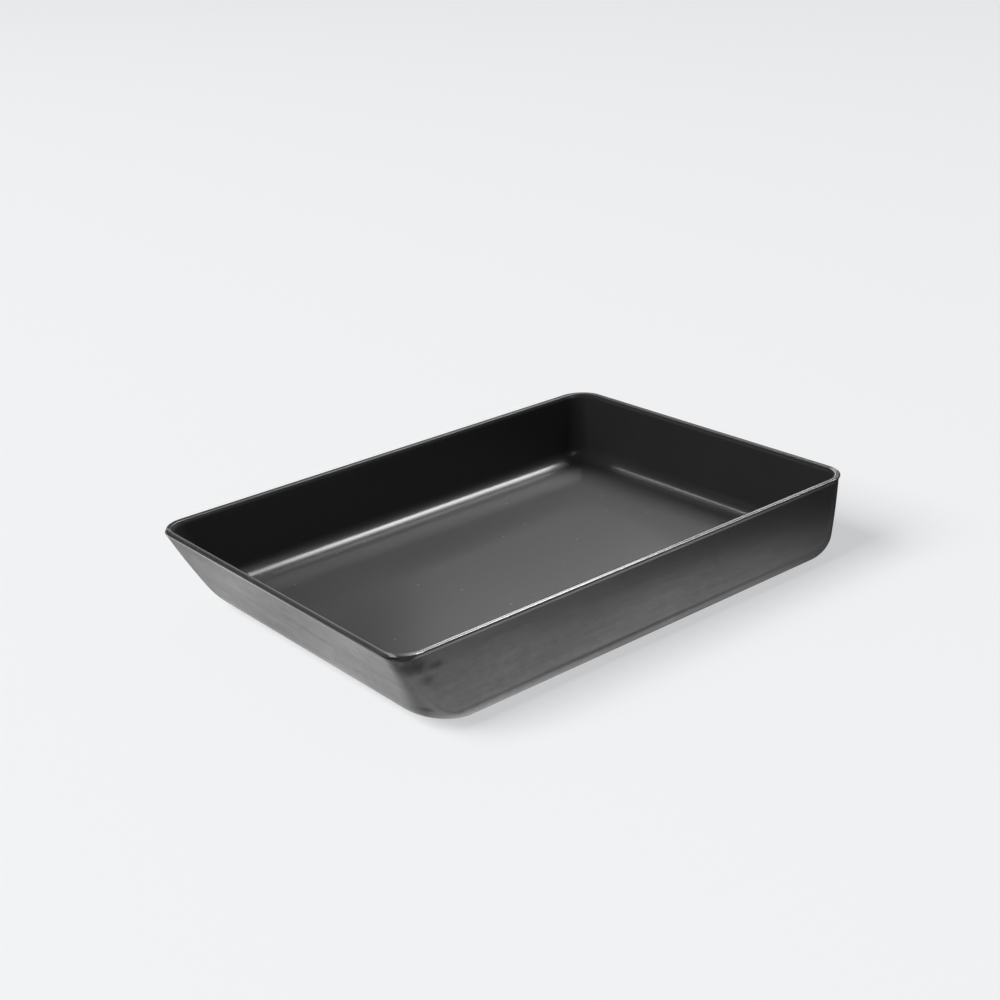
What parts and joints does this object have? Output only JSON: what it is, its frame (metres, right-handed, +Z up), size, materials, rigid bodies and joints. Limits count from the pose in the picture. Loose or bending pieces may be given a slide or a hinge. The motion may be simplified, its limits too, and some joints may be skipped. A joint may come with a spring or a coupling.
{
  "type": "tamagoyaki pan",
  "caption": "Oblong aluminium omelette pan with upright walls, one leaning serving end, rounded bottom edge and a perforated induction base; no handle.",
  "frame": {"origin": "on the surface the pan stands on, under the middle of its rim", "axes": "+X along the pan from the leaning serving end to the upright end, +Y across it, +Z up out of the pan's mouth"},
  "size_m": [0.182, 0.13, 0.03],
  "materials": {
    "bare_aluminium": "fine turned and ground base",
    "inner_coat": "satin black non-stick coat with fine speckle",
    "outer_coat": "satin dark grey heat-resistant coat",
    "plate_steel": "fine turned stainless steel"
  },
  "bodies": {
    "root": {"pan_body": "bare_aluminium", "nonstick_lining": "inner_coat", "exterior_coating": "outer_coat", "induction_plate": "plate_steel"}
  },
  "joints": []
}
